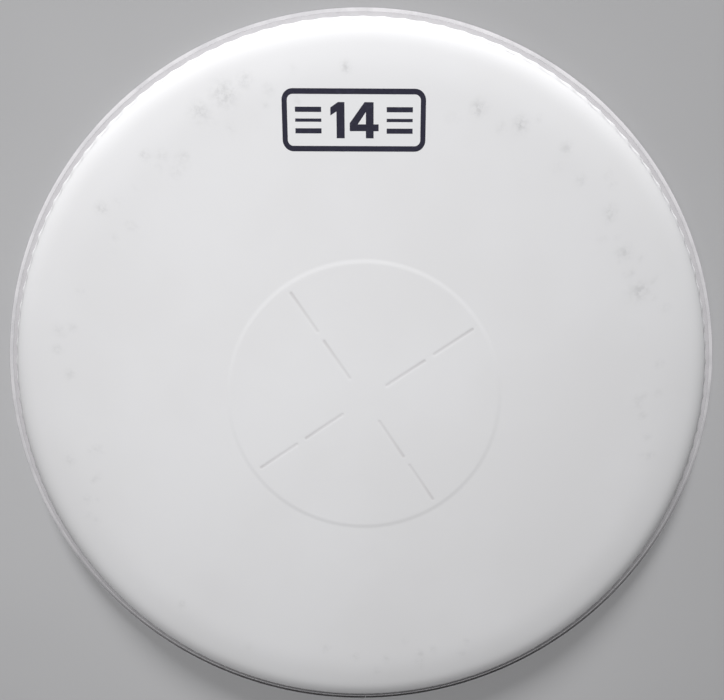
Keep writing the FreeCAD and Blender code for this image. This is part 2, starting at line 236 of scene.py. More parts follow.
def rounded(corners, closed=True):
    """A section through corners, each a radius, a height and a rounding drawn as an arc."""
    points = []
    count = len(corners)
    for index, (radius, height, rounding) in enumerate(corners):
        corner = Vector((radius, height))
        inside = closed or 0 < index < count - 1
        if not inside or rounding == 0:
            points.append(corner)
            continue
        before = (Vector(corners[index - 1][:2]) - corner).normalized()
        after = (Vector(corners[(index + 1) % count][:2]) - corner).normalized()
        half_angle = before.angle(after) / 2
        middle = corner + (before + after).normalized() * rounding / math.sin(half_angle)
        first = corner + before * rounding / math.tan(half_angle) - middle
        sweep = first.angle_signed(corner + after * rounding / math.tan(half_angle) - middle)
        for step in range(ARC_STEPS + 1):
            angle = -sweep * step / ARC_STEPS
            points.append(middle + Vector((first.x * math.cos(angle) - first.y * math.sin(angle),
                                           first.x * math.sin(angle) + first.y * math.cos(angle))))
    if closed:
        points.append(points[0])
    return points


def collar_point(height, outward):
    """A corner on the collar's outer slope, moved outward across the wall."""
    radius = HEM_RADIUS - (height - COLLAR_FOOT) / math.tan(COLLAR_ANGLE)
    return radius + outward / math.sin(COLLAR_ANGLE), height, 0


def even_steps(start, end, count):
    """Values from start towards end in even steps, without the end itself."""
    return [start + (end - start) * step / count for step in range(count)]


def flute_heights():
    """Heights of the rows that carry the flutes, from the collar's foot to where they end."""
    below = even_steps(COLLAR_FOOT, FLUTE_CREST, FLUTE_ROWS)
    above = even_steps(FLUTE_CREST, FLUTE_TOP, FLUTE_ROWS)
    return below + above + [FLUTE_TOP]


def hem_heights():
    """Heights of the rows below the collar's foot, from the hem's end up."""
    return [HEM_END] + even_steps(FLUTE_FOOT, COLLAR_FOOT, FLUTE_ROWS)


def smooth_step(value, start, end):
    """Nought before start, one after end, smooth between."""
    share = min(max((value - start) / (end - start), 0.0), 1.0)
    return share * share * (3 - 2 * share)


def slope_at(radius):
    """The angle at which the film falls outward: gently over the crown, then steeper and steeper."""
    share = max((radius - SHOULDER_START_RADIUS) / (SHOULDER_END_RADIUS - SHOULDER_START_RADIUS), 0.0)
    crown = CROWN_FALL * smooth_step(radius, FLAT_RADIUS, CROWN_END_RADIUS)
    return crown + (COLLAR_ANGLE - CROWN_FALL) * share ** 2


def fall_points(outward):
    """The fall from flat face to collar, summed from its slopes and moved outward across the wall."""
    radii = even_steps(FLAT_RADIUS, SHOULDER_START_RADIUS, SHOULDER_STEPS)
    radii += even_steps(SHOULDER_START_RADIUS, SHOULDER_END_RADIUS, SHOULDER_STEPS)
    radii.append(SHOULDER_END_RADIUS)
    height = FACE_HEIGHT
    points = [(FLAT_RADIUS, height + outward, 0)]
    for before, after in zip(radii, radii[1:]):
        height -= (after - before) * math.tan(slope_at((before + after) / 2))
        slope = slope_at(after)
        points.append((after + outward * math.sin(slope), height + outward * math.cos(slope), 0))
    return points


# Turned pieces

def turned_tree():
    """Geometry nodes that turn a section about the vertical axis and wave it into flutes."""
    tree = bpy.data.node_groups.new("turned_section", "GeometryNodeTree")
    tree.interface.new_socket("Section", in_out="INPUT", socket_type="NodeSocketGeometry")
    tree.interface.new_socket("Segments", in_out="INPUT", socket_type="NodeSocketInt")
    for name in ("Start", "Sweep", "Flutes", "Flute Depth", "Flute Foot", "Flute Crest", "Flute Top"):
        tree.interface.new_socket(name, in_out="INPUT", socket_type="NodeSocketFloat")
    tree.interface.new_socket("Finish", in_out="INPUT", socket_type="NodeSocketMaterial")
    tree.interface.new_socket("Turned", in_out="OUTPUT", socket_type="NodeSocketGeometry")
    given = tree.nodes.new("NodeGroupInput").outputs

    size = tree.nodes.new("GeometryNodeAttributeDomainSize")
    tree.links.new(given["Section"], size.inputs["Geometry"])
    points = size.outputs["Point Count"]
    grid = tree.nodes.new("GeometryNodeMeshGrid")
    feed(tree, grid.inputs["Vertices X"], calc(tree, "ADD", given["Segments"], 1))
    feed(tree, grid.inputs["Vertices Y"], points)

    # Half is added to a point's index, so that rounding down never gives the column before
    index = tree.nodes.new("GeometryNodeInputIndex").outputs["Index"]
    column = calc(tree, "FLOOR", calc(tree, "DIVIDE", calc(tree, "ADD", index, 0.5), points))
    row = calc(tree, "SUBTRACT", index, calc(tree, "MULTIPLY", column, points))
    sample = tree.nodes.new("GeometryNodeSampleIndex")
    sample.data_type = "FLOAT_VECTOR"
    tree.links.new(given["Section"], sample.inputs["Geometry"])
    tree.links.new(tree.nodes.new("GeometryNodeInputPosition").outputs["Position"], sample.inputs["Value"])
    feed(tree, sample.inputs["Index"], row)
    radius, unused_side, height = separate(tree, sample.outputs["Value"])

    share = calc(tree, "DIVIDE", column, given["Segments"])
    angle = calc(tree, "ADD", given["Start"], calc(tree, "MULTIPLY", share, given["Sweep"]))
    rise = ramp(tree, height, given["Flute Foot"], given["Flute Crest"])
    fall = ramp(tree, height, given["Flute Crest"], given["Flute Top"], 1.0, 0.0)
    depth = calc(tree, "MULTIPLY", given["Flute Depth"], calc(tree, "MULTIPLY", rise, fall))
    wave = calc(tree, "COSINE", calc(tree, "MULTIPLY", angle, given["Flutes"]))
    waved = calc(tree, "ADD", radius, calc(tree, "MULTIPLY", wave, depth))

    place = tree.nodes.new("GeometryNodeSetPosition")
    tree.links.new(grid.outputs["Mesh"], place.inputs["Geometry"])
    turned_place = combine(tree, calc(tree, "MULTIPLY", waved, calc(tree, "COSINE", angle)),
                           calc(tree, "MULTIPLY", waved, calc(tree, "SINE", angle)), height)
    tree.links.new(turned_place, place.inputs["Position"])
    merge = tree.nodes.new("GeometryNodeMergeByDistance")
    feed(tree, merge.inputs["Distance"], MERGE_DISTANCE)
    realize = tree.nodes.new("GeometryNodeRealizeInstances")
    finish = tree.nodes.new("GeometryNodeSetMaterial")
    tree.links.new(place.outputs["Geometry"], merge.inputs["Geometry"])
    tree.links.new(merge.outputs["Geometry"], realize.inputs["Geometry"])
    tree.links.new(realize.outputs["Geometry"], finish.inputs["Geometry"])
    tree.links.new(given["Finish"], finish.inputs["Material"])
    result = tree.nodes.new("NodeGroupOutput")
    tree.links.new(finish.outputs["Geometry"], result.inputs["Turned"])
    return tree


TURNED = turned_tree()


def new_object(name, mesh):
    """An object at the origin, shown in the scene."""
    piece = bpy.data.objects.new(name, mesh)
    bpy.context.scene.collection.objects.link(piece)
    return piece


def make_plain(piece):
    """Turn an object with modifiers into a plain mesh."""
    graph = bpy.context.evaluated_depsgraph_get()
    mesh = bpy.data.meshes.new_from_object(piece.evaluated_get(graph))
    piece.modifiers.clear()
    piece.data = mesh


def turn(name, section, finish, segments, gap=0.0, flute_depth=0.0):
    """A section turned into a ring, with a gap at the seam on the -Y side."""
    mesh = bpy.data.meshes.new(name)
    points = [(point.x, 0.0, point.y) for point in section]
    mesh.from_pydata(points, [(index, index + 1) for index in range(len(points) - 1)], [])
    piece = new_object(name, mesh)
    modifier = piece.modifiers.new("turned", "NODES")
    modifier.node_group = TURNED
    settings = {
        "Segments": segments,
        "Start": -math.pi / 2 + gap / 2,
        "Sweep": 2 * math.pi - gap,
        "Flutes": float(FLUTE_COUNT),
        "Flute Depth": flute_depth,
        "Flute Foot": FLUTE_FOOT,
        "Flute Crest": FLUTE_CREST,
        "Flute Top": FLUTE_TOP,
        "Finish": finish,
    }
    for socket in TURNED.interface.items_tree:
        if socket.name in settings:
            modifier[socket.identifier] = settings[socket.name]
    make_plain(piece)
    piece.data.materials.clear()
    piece.data.materials.append(finish)
    piece.data.polygons.foreach_set("material_index", [0] * len(piece.data.polygons))
    return piece


def close_ends(shape):
    """Fill the open ends of a ring that has a seam."""
    open_edges = [edge for edge in shape.edges if edge.is_boundary]
    bmesh.ops.holes_fill(shape, edges=open_edges, sides=0)


def finish_mesh(piece):
    """Close the seams, point every face outward and shade smooth but for the sharp edges."""
    shape = bmesh.new()
    shape.from_mesh(piece.data)
    bmesh.ops.remove_doubles(shape, verts=shape.verts, dist=MERGE_DISTANCE)
    bmesh.ops.dissolve_degenerate(shape, edges=shape.edges, dist=SLIVER_LENGTH)
    close_ends(shape)
    bmesh.ops.recalc_face_normals(shape, faces=shape.faces)
    shape.to_mesh(piece.data)
    shape.free()
    piece.data.polygons.foreach_set("use_smooth", [True] * len(piece.data.polygons))
    piece.data.set_sharp_from_angle(angle=SHARP_ANGLE)


def mount_piece(piece, slot, *nodes):
    """Ride with the part and stand for its nodes."""
    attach(piece, "root")
    if nodes:
        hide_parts(*nodes)


# Colours of the finishes
COAT_WHITE = (0.80, 0.80, 0.815, 1)
COAT_WHITE_WARM = (0.775, 0.773, 0.785, 1)
STICK_GREY = (0.58, 0.58, 0.59, 1)
# Painted shade: the darker grey laid into the coating's slots and just beside them
SLOT_SHADE_GREY = (0.66, 0.65, 0.66, 1)
FILM_WHITE = (0.72, 0.725, 0.73, 1)
FILM_WHITE_COOL = (0.69, 0.70, 0.71, 1)
FILM_OVER_DOT = (0.78, 0.775, 0.75, 1)
ALUMINIUM = (0.87, 0.855, 0.88, 1)
ALUMINIUM_DULL = (0.76, 0.75, 0.775, 1)
RESIN_LIGHT = (0.72, 0.705, 0.73, 1)
RESIN_GREY = (0.68, 0.665, 0.69, 1)
INK_BLUE = (0.020, 0.019, 0.034, 1)
INK_WORN = (0.034, 0.032, 0.055, 1)
POLYESTER_LIGHT = (0.80, 0.80, 0.78, 1)
POLYESTER_DARK = (0.74, 0.74, 0.72, 1)
ADHESIVE_LIGHT = (0.78, 0.74, 0.62, 1)
ADHESIVE_DARK = (0.70, 0.66, 0.54, 1)
SKY_WHITE = (1, 1, 1, 1)

# Patterns: repeats per metre, detail and roughness of the noise
COAT_CLOUDS = (14.0, 3.0, 0.5)
COAT_GRAIN = (1700.0, 3.0, 0.6)
MARK_SPECKS = (420.0, 4.0, 0.6)
FILM_CLOUDS = (22.0, 3.0, 0.5)
FILM_RIPPLES = (60.0, 2.0, 0.5)
ROLLING_LINES = (5200.0, 3.0, 0.6)
DULL_PATCHES = (70.0, 4.0, 0.6)
RESIN_CLOUDS = (120.0, 4.0, 0.6)
RESIN_GRAIN = (900.0, 3.0, 0.6)
INK_WEAR = (420.0, 4.0, 0.65)
HIDDEN_CLOUDS = (90.0, 3.0, 0.5)
FLOOR_CLOUDS = (6.0, 2.0, 0.5)
# The rolling lines' length round the rim is their width divided by this
LINE_STRETCH_SHARE = 0.015

# Where in a noise's range each kind of pattern starts and where it is full
CLOUD_SPREAD = (0.3, 0.7)
GRAIN_SPREAD = (0.25, 0.75)
SPECK_SPREAD = (0.36, 0.64)
# The painted slot shade is broken up by the coating's clouds over this part of their range
SLOT_SHADE_SPREAD = (0.2, 0.6)
PATCH_SPREAD = (0.35, 0.7)
WEAR_SPREAD = (0.5, 0.75)

# Least and most that a pattern gives, and what the dull patches add
SPECK_SHARES = (0.2, 1.0)
# Least and most of the painted slot shade where the clouds break it up
SLOT_SHADE_SHARES = (0.75, 1.0)
COAT_ROUGHNESS = (0.72, 0.88)
HOOP_ROUGHNESS = (0.14, 0.22)
PATCH_ROUGHNESS = 0.08
RESIN_ROUGHNESS = (0.14, 0.2)
INK_ROUGHNESS = (0.5, 0.7)

# Bumps: strength and depth
COAT_BUMP = (0.35, 0.03 * MM)
FILM_BUMP = (0.15, 0.05 * MM)
HOOP_BUMP = (0.3, 0.02 * MM)
RESIN_BUMP = (0.04, 0.02 * MM)
INK_BUMP = (0.3, 0.03 * MM)
# Softness of the edges of what shows through the film
SHOW_THROUGH_BLUR = 0.25 * MM


# Node helpers for the finishes: a Mix node's colour sockets go by number, because their names repeat
MIX_FIRST_INPUT = 6
MIX_SECOND_INPUT = 7
MIX_OUTPUT = 2


def new_material(name, **settings):
    """A material whose plain values are set on the shader's own sockets."""
    material = bpy.data.materials.new(name)
    material.use_nodes = True
    tree = material.node_tree
    shader = tree.nodes["Principled BSDF"]
    for socket, value in settings.items():
        shader.inputs[socket.replace("_", " ")].default_value = value
    return material, tree, shader


def object_place(tree):
    """The surface point in the part's own frame."""
    return tree.nodes.new("ShaderNodeTexCoord").outputs["Object"]


def noise(tree, place, scale, detail, roughness):
    """Even random mottling at a scale, in repeats per metre."""
    node = tree.nodes.new("ShaderNodeTexNoise")
    tree.links.new(place, node.inputs["Vector"])
    for name, value in (("Scale", scale), ("Detail", detail), ("Roughness", roughness)):
        feed(tree, node.inputs[name], value)
    return node.outputs["Fac"]


def attribute(tree, name):
    """A number that the mesh carries at its points."""
    node = tree.nodes.new("ShaderNodeAttribute")
    node.attribute_name = name
    return node.outputs["Fac"]


def blend_colours(tree, factor, first, second):
    """A colour between two, each a colour or a socket."""
    node = tree.nodes.new("ShaderNodeMix")
    node.data_type = "RGBA"
    feed(tree, node.inputs["Factor"], factor)
    feed(tree, node.inputs[MIX_FIRST_INPUT], first)
    feed(tree, node.inputs[MIX_SECOND_INPUT], second)
    return node.outputs[MIX_OUTPUT]


def bump(tree, shader, height, strength, depth):
    """Raise the surface by a pattern of the given depth in metres."""
    node = tree.nodes.new("ShaderNodeBump")
    node.inputs["Strength"].default_value = strength
    node.inputs["Distance"].default_value = depth
    tree.links.new(height, node.inputs["Height"])
    tree.links.new(node.outputs["Normal"], shader.inputs["Normal"])


def polar(tree, place):
    """Distance round the rim, radius and height of a surface point."""
    x, y, z = separate(tree, place)
    radius = calc(tree, "SQRT", calc(tree, "ADD", calc(tree, "MULTIPLY", x, x), calc(tree, "MULTIPLY", y, y)))
    around = calc(tree, "MULTIPLY", calc(tree, "ARCTAN2", y, x), RIM_RADIUS)
    return around, radius, z


def soft_below(tree, value, limit):
    """One below a limit and nought above it, with a soft edge."""
    return ramp(tree, value, limit - SHOW_THROUGH_BLUR, limit + SHOW_THROUGH_BLUR, 1.0, 0.0)


# Finishes

def coating_finish():
    """Sprayed matt white, a little uneven, with stick marks, and with painted shade in the slots where the
    mesh says so.
    """
    material, tree, shader = new_material("sprayed_coating", Specular_IOR_Level=0.3)
    place = object_place(tree)
    cloud = noise(tree, place, *COAT_CLOUDS)
    white = blend_colours(tree, ramp(tree, cloud, *CLOUD_SPREAD), COAT_WHITE, COAT_WHITE_WARM)
    specks = ramp(tree, noise(tree, place, *MARK_SPECKS), *SPECK_SPREAD, *SPECK_SHARES)
    mark = calc(tree, "MULTIPLY", attribute(tree, "stick_marks"), specks)
    marked = blend_colours(tree, mark, white, STICK_GREY)
    # Painted shade: the slots and their edges are darkened towards a grey, broken up by the clouds
    patchy = ramp(tree, cloud, *SLOT_SHADE_SPREAD, *SLOT_SHADE_SHARES)
    shade_in_slots = calc(tree, "MULTIPLY", attribute(tree, "painted_slot_shade"), patchy)
    tree.links.new(blend_colours(tree, shade_in_slots, marked, SLOT_SHADE_GREY), shader.inputs["Base Color"])
    grain = noise(tree, place, *COAT_GRAIN)
    tree.links.new(ramp(tree, grain, *GRAIN_SPREAD, *COAT_ROUGHNESS), shader.inputs["Roughness"])
    bump(tree, shader, grain, *COAT_BUMP)
    return material


def film_finish():
    """Clear glossy film over the coating; dot and slots show through it."""
    material, tree, shader = new_material("clear_film", Roughness=0.45, Coat_Weight=1.0,
                                          Coat_Roughness=0.06, Coat_IOR=1.6)
    place = object_place(tree)
    turned = tree.nodes.new("ShaderNodeMapping")
    turned.inputs["Rotation"].default_value = (0, 0, -SPOKE_ANGLE)
    tree.links.new(place, turned.inputs["Vector"])
    x, y, unused_z = separate(tree, turned.outputs["Vector"])
    along = calc(tree, "MAXIMUM", calc(tree, "ABSOLUTE", x), calc(tree, "ABSOLUTE", y))
    across = calc(tree, "MINIMUM", calc(tree, "ABSOLUTE", x), calc(tree, "ABSOLUTE", y))
    unused_around, radius, unused_height = polar(tree, place)
    dot = soft_below(tree, radius, DOT_RADIUS)
    narrow = soft_below(tree, across, SLOT_WIDTH / 2)
    for order in range(SLOTS_PER_SPOKE):
        start = SLOT_START + order * SLOT_SPACING
        end = start + SLOT_LENGTH
        within = calc(tree, "SUBTRACT", soft_below(tree, along, end), soft_below(tree, along, start))
        slot = calc(tree, "MULTIPLY", within, narrow)
        dot = calc(tree, "MULTIPLY", dot, calc(tree, "SUBTRACT", 1.0, slot))
    cloud = ramp(tree, noise(tree, place, *FILM_CLOUDS), *CLOUD_SPREAD)
    backing = blend_colours(tree, cloud, FILM_WHITE, FILM_WHITE_COOL)
    tree.links.new(blend_colours(tree, dot, backing, FILM_OVER_DOT), shader.inputs["Base Color"])
    bump(tree, shader, noise(tree, place, *FILM_RIPPLES), *FILM_BUMP)
    return material


def hoop_finish():
    """Rolled aluminium with fine lines round the rim, dulled in patches."""
    material, tree, shader = new_material("rolled_aluminium", Metallic=1.0)
    place = object_place(tree)
    around, radius, height = polar(tree, place)
    lines_place = combine(tree, calc(tree, "MULTIPLY", around, LINE_STRETCH_SHARE), radius, height)
    lines = noise(tree, lines_place, *ROLLING_LINES)
    patches = ramp(tree, noise(tree, place, *DULL_PATCHES), *PATCH_SPREAD)
    colour = blend_colours(tree, patches, ALUMINIUM, ALUMINIUM_DULL)
    tree.links.new(colour, shader.inputs["Base Color"])
    lined = ramp(tree, lines, *GRAIN_SPREAD, *HOOP_ROUGHNESS)
    rough = calc(tree, "MULTIPLY_ADD", patches, PATCH_ROUGHNESS, lined)
    tree.links.new(rough, shader.inputs["Roughness"])
    bump(tree, shader, lines, *HOOP_BUMP)
    return material


def resin_finish():
    """Cast resin filled with metal powder, slightly mottled, with a faint grain."""
    material, tree, shader = new_material("cast_resin", Metallic=0.85)
    place = object_place(tree)
    cloud = ramp(tree, noise(tree, place, *RESIN_CLOUDS), *CLOUD_SPREAD)
    tree.links.new(blend_colours(tree, cloud, RESIN_LIGHT, RESIN_GREY), shader.inputs["Base Color"])
    grain = noise(tree, place, *RESIN_GRAIN)
    tree.links.new(ramp(tree, grain, *CLOUD_SPREAD, *RESIN_ROUGHNESS), shader.inputs["Roughness"])
    bump(tree, shader, grain, *RESIN_BUMP)
    return material


def ink_finish():
    """Screen-printed dark blue ink, slightly thin in places."""
    material, tree, shader = new_material("printed_ink", Specular_IOR_Level=0.3)
    place = object_place(tree)
    thin = ramp(tree, noise(tree, place, *INK_WEAR), *WEAR_SPREAD)
    tree.links.new(blend_colours(tree, thin, INK_BLUE, INK_WORN), shader.inputs["Base Color"])
    grain = noise(tree, place, *COAT_GRAIN)
    tree.links.new(ramp(tree, grain, *GRAIN_SPREAD, *INK_ROUGHNESS), shader.inputs["Roughness"])
    bump(tree, shader, grain, *INK_BUMP)
    return material


def hidden_finish(name, light, dark, **settings):
    """A plain mottled finish for a piece inside the head."""
    material, tree, shader = new_material(name, **settings)
    cloud = ramp(tree, noise(tree, object_place(tree), *HIDDEN_CLOUDS), *CLOUD_SPREAD)
    tree.links.new(blend_colours(tree, cloud, light, dark), shader.inputs["Base Color"])
    return material


# Hoop and the resin in it

def make_hoop():
    """The folded channel ring, open at its seam."""
    corners = [
        (BORE_RADIUS, 0, BEND_ROUNDING),
        (RIM_RADIUS, 0, BEND_ROUNDING),
        (RIM_RADIUS, HOOP_HEIGHT, FOLD_EDGE_ROUNDING),
        (MOUTH_RADIUS, HOOP_HEIGHT, LIP_EDGE_ROUNDING),
        (MOUTH_RADIUS, FOLD_END, 0),
        (FOLD_RADIUS, FOLD_END, 0),
        (FOLD_RADIUS, FOLD_TOP, 0),
        (CHANNEL_OUTER_RADIUS, FOLD_TOP, 0),
        (CHANNEL_OUTER_RADIUS, HOOP_WALL, CHANNEL_ROUNDING),
        (CHANNEL_INNER_RADIUS, HOOP_WALL, CHANNEL_ROUNDING),
        (CHANNEL_INNER_RADIUS, INNER_WALL_HEIGHT, STRIP_EDGE_ROUNDING),
        (BORE_RADIUS, INNER_WALL_HEIGHT, STRIP_EDGE_ROUNDING),
    ]
    hoop = turn("flesh_hoop_rolled", rounded(corners), hoop_finish(), PLAIN_SEGMENTS,
                gap=SEAM_GAP / RIM_RADIUS)
    finish_mesh(hoop)
    mount_piece(hoop, "hoop_aluminium", "flesh_hoop")


def make_resin():
    """Resin in the channel: nearly level with the lip outside the hem, and tucked in under the collar."""
    crept = RESIN_LEVEL + RESIN_CREEP
    corners = [
        (CHANNEL_INNER_RADIUS, HOOP_WALL, CHANNEL_ROUNDING),
        (CHANNEL_OUTER_RADIUS, HOOP_WALL, CHANNEL_ROUNDING),
        (CHANNEL_OUTER_RADIUS, FOLD_END, 0),
        (MOUTH_RADIUS, FOLD_END, 0),
        (MOUTH_RADIUS, crept, 0),
        (MOUTH_RADIUS - RESIN_CREEP_WIDTH, RESIN_LEVEL, RESIN_CREEP),
        (HEM_RADIUS - RESIN_TUCK, RESIN_LEVEL, 0),
        (HEM_RADIUS - FILM_THICKNESS / 2, COLLAR_FOOT, 0),
        (HEM_RADIUS - FILM_THICKNESS / 2, HEM_END, 0),
        (HEM_INNER_RADIUS, HEM_END, 0),
        (HEM_INNER_RADIUS, RESIN_INNER_LEVEL + RESIN_CREEP, 0),
        (HEM_INNER_RADIUS - RESIN_CREEP_WIDTH, RESIN_INNER_LEVEL, RESIN_CREEP),
        (CHANNEL_INNER_RADIUS, RESIN_INNER_LEVEL, 0),
    ]
    resin = turn("hoop_resin_cast", rounded(corners), resin_finish(), PLAIN_SEGMENTS)
    finish_mesh(resin)
    mount_piece(resin, "resin", "hoop_resin")


# Film

def make_film():
    """The film from the middle of the face to the end of the hem, both sides."""
    under = [(0, FACE_HEIGHT - FILM_THICKNESS, 0)]
    under += fall_points(-FILM_THICKNESS)
    under += [collar_point(height, -FILM_THICKNESS) for height in reversed(flute_heights())]
    under += [(HEM_INNER_RADIUS, height, 0) for height in reversed(hem_heights())]
    over = [(HEM_RADIUS, height, 0) for height in hem_heights()]
    over += [collar_point(height, 0) for height in flute_heights()]
    over += fall_points(0)[::-1] + [(0, FACE_HEIGHT, 0)]
    section = rounded(under + over, closed=False)
    film = turn("film_ply_formed", section, film_finish(), FLUTE_SEGMENTS, flute_depth=FLUTE_DEPTH)
    finish_mesh(film)
    mount_piece(film, "film", "film_ply")


# Coating

def slot_lines():
    """The middle line of each slot: where its round ends are centred."""
    lines = []
    for spoke in range(SPOKE_COUNT):
        angle = SPOKE_ANGLE + 2 * math.pi * spoke / SPOKE_COUNT
        outward = Vector((math.cos(angle), math.sin(angle)))
        for order in range(SLOTS_PER_SPOKE):
            start = SLOT_START + order * SLOT_SPACING + SLOT_WIDTH / 2
            end = start + SLOT_LENGTH - SLOT_WIDTH
            lines.append((outward * start, outward * end))
    return lines


def share_along(point, line):
    """How far along a straight line piece a point lies, from nought at its start to one at its end."""
    start, end = line
    along = end - start
    return min(max((point - start).dot(along) / along.length_squared, 0.0), 1.0)


def distance_to_line(point, line):
    """Distance from a point to the nearest point of a straight line piece."""
    start, end = line
    return (point - start.lerp(end, share_along(point, line))).length


def slot_outline(line, offset):
    """A round-ended outline at an offset from a slot's middle line."""
    start, end = line
    along = (end - start).normalized()
    side = Vector((-along.y, along.x))
    steps = max(2, round((end - start).length / SLOT_STEP))
    straight = [start.lerp(end, step / steps) for step in range(steps + 1)]
    end_steps = 2 * ARC_STEPS
    angles = [math.pi * step / end_steps for step in range(1, end_steps)]
    points = [point - side * offset for point in straight]
    points += [end + (along * math.sin(angle) - side * math.cos(angle)) * offset for angle in angles]
    points += [point + side * offset for point in reversed(straight)]
    points += [start + (side * math.cos(angle) - along * math.sin(angle)) * offset for angle in angles]
    return points


def circle(radius, count):
    """Points round a circle, the first on the -Y side as on the turned pieces."""
    angles = [2 * math.pi * step / count - math.pi / 2 for step in range(count)]
    return [Vector((radius * math.cos(angle), radius * math.sin(angle))) for angle in angles]


def face_height(point, lines):
    """Height of the coating over the flat face: up onto the dot and down into its slots."""
    ramp_start = DOT_RADIUS - DOT_RAMP * DOT_RAMP_INNER_SHARE
    on_dot = 1 - smooth_step(point.length, ramp_start, ramp_start + DOT_RAMP)
    nearest = min(distance_to_line(point, line) for line in lines)
    in_slot = 1 - smooth_step(nearest, SLOT_FLOOR_REACH, SLOT_WALL_REACH)
    return COAT_HEIGHT + DOT_STEP * (on_dot - SLOT_DEPTH_SHARE * in_slot)


def face_points(lines):
    """Points of the flat face: outlines round the slots, the dot's edge, and rings out to the skirt."""
    outlines = even_steps(SLOT_FLOOR_REACH, SLOT_WALL_REACH, SLOT_WALL_ROWS)
    outlines += [SLOT_WALL_REACH, SLOT_GUARD_REACH]
    points = []
    for line in lines:
        start, end = line
        steps = round((end - start).length / SLOT_STEP)
        points += [start.lerp(end, step / steps) for step in range(steps + 1)]
        for offset in outlines:
            points += slot_outline(line, offset)
    edge_count = round(2 * math.pi * DOT_RADIUS / DOT_EDGE_STEP)
    for row in range(-DOT_MARGIN_ROWS, DOT_EDGE_ROWS + DOT_MARGIN_ROWS + 1):
        points += circle(DOT_RADIUS + DOT_RAMP * (row / DOT_EDGE_ROWS - DOT_RAMP_INNER_SHARE), edge_count)
    rings = round(FLAT_RADIUS / FACE_STEP)
    for ring in range(rings - len(FACE_EDGE_RINGS) + 1):
        radius = FLAT_RADIUS * ring / rings
        if abs(radius - DOT_RADIUS) < DOT_EDGE_CLEARANCE:
            continue
        count = max(1, round(2 * math.pi * radius / FACE_STEP))
        for point in circle(radius, count):
            if min(distance_to_line(point, line) for line in lines) > SLOT_CLEARANCE:
                points.append(point)
    for steps_in, segments_each in FACE_EDGE_RINGS:
        points += circle(FLAT_RADIUS - FACE_STEP * steps_in, FLUTE_SEGMENTS // segments_each)
    return points


# Grey stick marks: bearing in degrees from +X, place in rim radii, size, strength
HEAVY_MARKS = (
    (22, 0.79, 4 * MM, 0.7), (30, 0.79, 3 * MM, 0.6), (38, 0.81, 3 * MM, 0.5), (46, 0.80, 2 * MM, 0.5),
    (52, 0.83, 2.5 * MM, 0.5), (61, 0.81, 3 * MM, 0.9), (69, 0.80, 3 * MM, 0.9), (93, 0.84, 2 * MM, 0.9),
    (110, 0.86, 3 * MM, 0.6), (114, 0.85, 5 * MM, 0.8), (119, 0.84, 4 * MM, 0.7), (131, 0.84, 2 * MM, 0.6),
    (143, 0.84, 2.5 * MM, 0.6), (282, 0.81, 2 * MM, 0.5),
)
# Faint marks are strewn over arcs of a ring: first and last bearing, and how many
FAINT_MARK_ARCS = ((-15, 75, 26), (100, 178, 26), (185, 230, 9), (245, 310, 12))
FAINT_MARK_PLACE_SHARES = (0.75, 0.86)
FAINT_MARK_SIZES = (1.2 * MM, 2.4 * MM)
FAINT_MARK_STRENGTHS = (0.15, 0.45)
MARK_SEED = 7


def stick_marks():
    """Every stick mark's middle on the face, its size and its strength."""
    chance = random.Random(MARK_SEED)
    listed = list(HEAVY_MARKS)
    for first, last, count in FAINT_MARK_ARCS:
        for unused_order in range(count):
            listed.append((chance.uniform(first, last), chance.uniform(*FAINT_MARK_PLACE_SHARES),
                           chance.uniform(*FAINT_MARK_SIZES), chance.uniform(*FAINT_MARK_STRENGTHS)))
    marks = []
    for bearing, place_share, size, strength in listed:
        angle = math.radians(bearing)
        middle = Vector((math.cos(angle), math.sin(angle))) * place_share * RIM_RADIUS
        marks.append((middle, size, strength))
    return marks


def mark_strength(point, marks):
    """How strongly sticks have marked the coating at a point."""
    return max(strength * math.exp(-((point - middle).length / size) ** 2)
               for middle, size, strength in marks)


def painted_slot_shade(point, lines):
    """How much painted shade darkens the coating at a point, in the slots and just beside them, most at their
    outer ends.
    """
    if point.length > DOT_RADIUS:
        return 0.0
    nearest = min(lines, key=lambda line: distance_to_line(point, line))
    shade_share = SLOT_SHADE_INNER_SHARE + (1 - SLOT_SHADE_INNER_SHARE) * share_along(point, nearest) ** 2
    return shade_share * (1 - smooth_step(distance_to_line(point, nearest), SLOT_FLOOR_REACH, SLOT_WALL_REACH))


